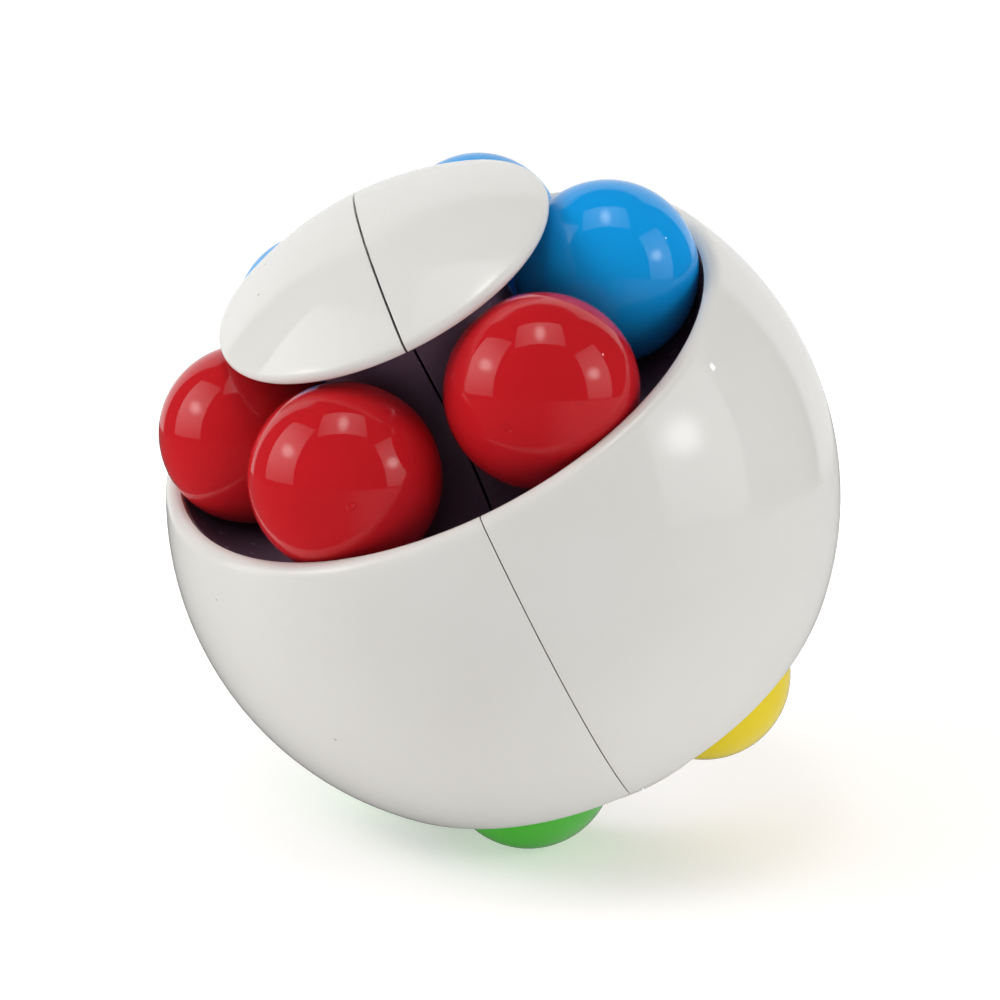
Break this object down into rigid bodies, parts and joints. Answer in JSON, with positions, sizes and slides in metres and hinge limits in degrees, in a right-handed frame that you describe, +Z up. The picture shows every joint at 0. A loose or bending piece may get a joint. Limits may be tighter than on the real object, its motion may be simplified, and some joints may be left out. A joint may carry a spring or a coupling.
{
  "type": "twist ball maze puzzle",
  "caption": "Hand-held ball puzzle: a white ball in two halves that twist on a hidden bolt, with coloured balls rolling in a ring trough round each pole.",
  "frame": {"origin": "centre of the big ball", "axes": "+Z up from the table that the ball lies on, -Y towards the side that shows the seam and one trough. The poles lean 34.9 degrees from +Z, towards the front left; the twist axis is halves_twist's axis, and the polar axis is that of every ball's joint"},
  "size_m": [0.07, 0.07, 0.0713],
  "materials": {
    "white_gloss": "glossy warm white moulded plastic",
    "dark_trough": "satin near-black moulded plastic",
    "grey_plate": "dull dark grey bearing plastic",
    "steel": "plated steel",
    "red": "glossy red moulded plastic",
    "blue": "glossy blue moulded plastic",
    "green": "glossy green moulded plastic",
    "yellow": "glossy yellow moulded plastic"
  },
  "bodies": {
    "left_half": {"left_shell": "white_gloss", "upper_trough_left": "dark_trough", "lower_trough_left": "dark_trough", "upper_cap_left": "white_gloss", "lower_cap_left": "white_gloss", "left_bearing_plate": "grey_plate", "pivot_bolt": "steel", "pivot_washer": "steel", "pivot_spring": "steel", "pivot_nut": "steel", "detent_spring_front": "steel", "detent_spring_back": "steel"},
    "right_half": {"right_shell": "white_gloss", "upper_trough_right": "dark_trough", "lower_trough_right": "dark_trough", "upper_cap_right": "white_gloss", "lower_cap_right": "white_gloss", "right_bearing_plate": "grey_plate"},
    "detent_ball_front": {"detent_ball_front": "steel"},
    "detent_ball_back": {"detent_ball_back": "steel"},
    "ball_red_1": {"ball_red_1": "red"},
    "ball_red_2": {"ball_red_2": "red"},
    "ball_red_3": {"ball_red_3": "red"},
    "ball_blue_1": {"ball_blue_1": "blue"},
    "ball_blue_2": {"ball_blue_2": "blue"},
    "ball_blue_3": {"ball_blue_3": "blue"},
    "ball_green_1": {"ball_green_1": "green"},
    "ball_green_2": {"ball_green_2": "green"},
    "ball_green_3": {"ball_green_3": "green"},
    "ball_yellow_1": {"ball_yellow_1": "yellow"},
    "ball_yellow_2": {"ball_yellow_2": "yellow"},
    "ball_yellow_3": {"ball_yellow_3": "yellow"}
  },
  "joints": [
    {"name": "halves_twist", "type": "hinge", "parent": "left_half", "child": "right_half", "pos_m": [0, 0, 0], "axis": [0.9026, -0.0042, 0.4305], "continuous": true},
    {"name": "ball_red_1_roll", "type": "hinge", "parent": "left_half", "child": "ball_red_1", "pos_m": [0, 0, 0], "axis": [-0.3931, -0.4157, 0.8202], "range_deg": [-360, 360]},
    {"name": "ball_red_2_roll", "type": "hinge", "parent": "left_half", "child": "ball_red_2", "pos_m": [0, 0, 0], "axis": [-0.3931, -0.4157, 0.8202], "range_deg": [-360, 360]},
    {"name": "ball_red_3_roll", "type": "hinge", "parent": "right_half", "child": "ball_red_3", "pos_m": [0, 0, 0], "axis": [-0.3931, -0.4157, 0.8202], "range_deg": [-360, 360]},
    {"name": "ball_blue_1_roll", "type": "hinge", "parent": "right_half", "child": "ball_blue_1", "pos_m": [0, 0, 0], "axis": [-0.3931, -0.4157, 0.8202], "range_deg": [-360, 360]},
    {"name": "ball_blue_2_roll", "type": "hinge", "parent": "right_half", "child": "ball_blue_2", "pos_m": [0, 0, 0], "axis": [-0.3931, -0.4157, 0.8202], "range_deg": [-360, 360]},
    {"name": "ball_blue_3_roll", "type": "hinge", "parent": "left_half", "child": "ball_blue_3", "pos_m": [0, 0, 0], "axis": [-0.3931, -0.4157, 0.8202], "range_deg": [-360, 360]},
    {"name": "ball_green_1_roll", "type": "hinge", "parent": "left_half", "child": "ball_green_1", "pos_m": [0, 0, 0], "axis": [-0.3931, -0.4157, 0.8202], "range_deg": [-360, 360]},
    {"name": "ball_green_2_roll", "type": "hinge", "parent": "left_half", "child": "ball_green_2", "pos_m": [0, 0, 0], "axis": [-0.3931, -0.4157, 0.8202], "range_deg": [-360, 360]},
    {"name": "ball_green_3_roll", "type": "hinge", "parent": "left_half", "child": "ball_green_3", "pos_m": [0, 0, 0], "axis": [-0.3931, -0.4157, 0.8202], "range_deg": [-360, 360]},
    {"name": "ball_yellow_1_roll", "type": "hinge", "parent": "right_half", "child": "ball_yellow_1", "pos_m": [0, 0, 0], "axis": [-0.3931, -0.4157, 0.8202], "range_deg": [-360, 360]},
    {"name": "ball_yellow_2_roll", "type": "hinge", "parent": "right_half", "child": "ball_yellow_2", "pos_m": [0, 0, 0], "axis": [-0.3931, -0.4157, 0.8202], "range_deg": [-360, 360]},
    {"name": "ball_yellow_3_roll", "type": "hinge", "parent": "right_half", "child": "ball_yellow_3", "pos_m": [0, 0, 0], "axis": [-0.3931, -0.4157, 0.8202], "range_deg": [-360, 360]},
    {"name": "detent_front_press", "type": "slide", "parent": "left_half", "child": "detent_ball_front", "axis": [0.9026, -0.0042, 0.4305], "range_m": [-0.0006, 0], "stiffness_N_per_m": 400, "springref_m": 0.002, "deforming": ["detent_spring_front"]},
    {"name": "detent_back_press", "type": "slide", "parent": "left_half", "child": "detent_ball_back", "axis": [0.9026, -0.0042, 0.4305], "range_m": [-0.0006, 0], "stiffness_N_per_m": 400, "springref_m": 0.002, "deforming": ["detent_spring_back"]}
  ],
  "couplings": [
    {"joint": "ball_red_2_roll", "follows": "ball_red_1_roll", "ratio": 1},
    {"joint": "ball_red_3_roll", "follows": "ball_red_1_roll", "ratio": 1},
    {"joint": "ball_blue_1_roll", "follows": "ball_red_1_roll", "ratio": 1},
    {"joint": "ball_blue_2_roll", "follows": "ball_red_1_roll", "ratio": 1},
    {"joint": "ball_blue_3_roll", "follows": "ball_red_1_roll", "ratio": 1},
    {"joint": "ball_green_2_roll", "follows": "ball_green_1_roll", "ratio": 1},
    {"joint": "ball_green_3_roll", "follows": "ball_green_1_roll", "ratio": 1},
    {"joint": "ball_yellow_1_roll", "follows": "ball_green_1_roll", "ratio": 1},
    {"joint": "ball_yellow_2_roll", "follows": "ball_green_1_roll", "ratio": 1},
    {"joint": "ball_yellow_3_roll", "follows": "ball_green_1_roll", "ratio": 1}
  ]
}
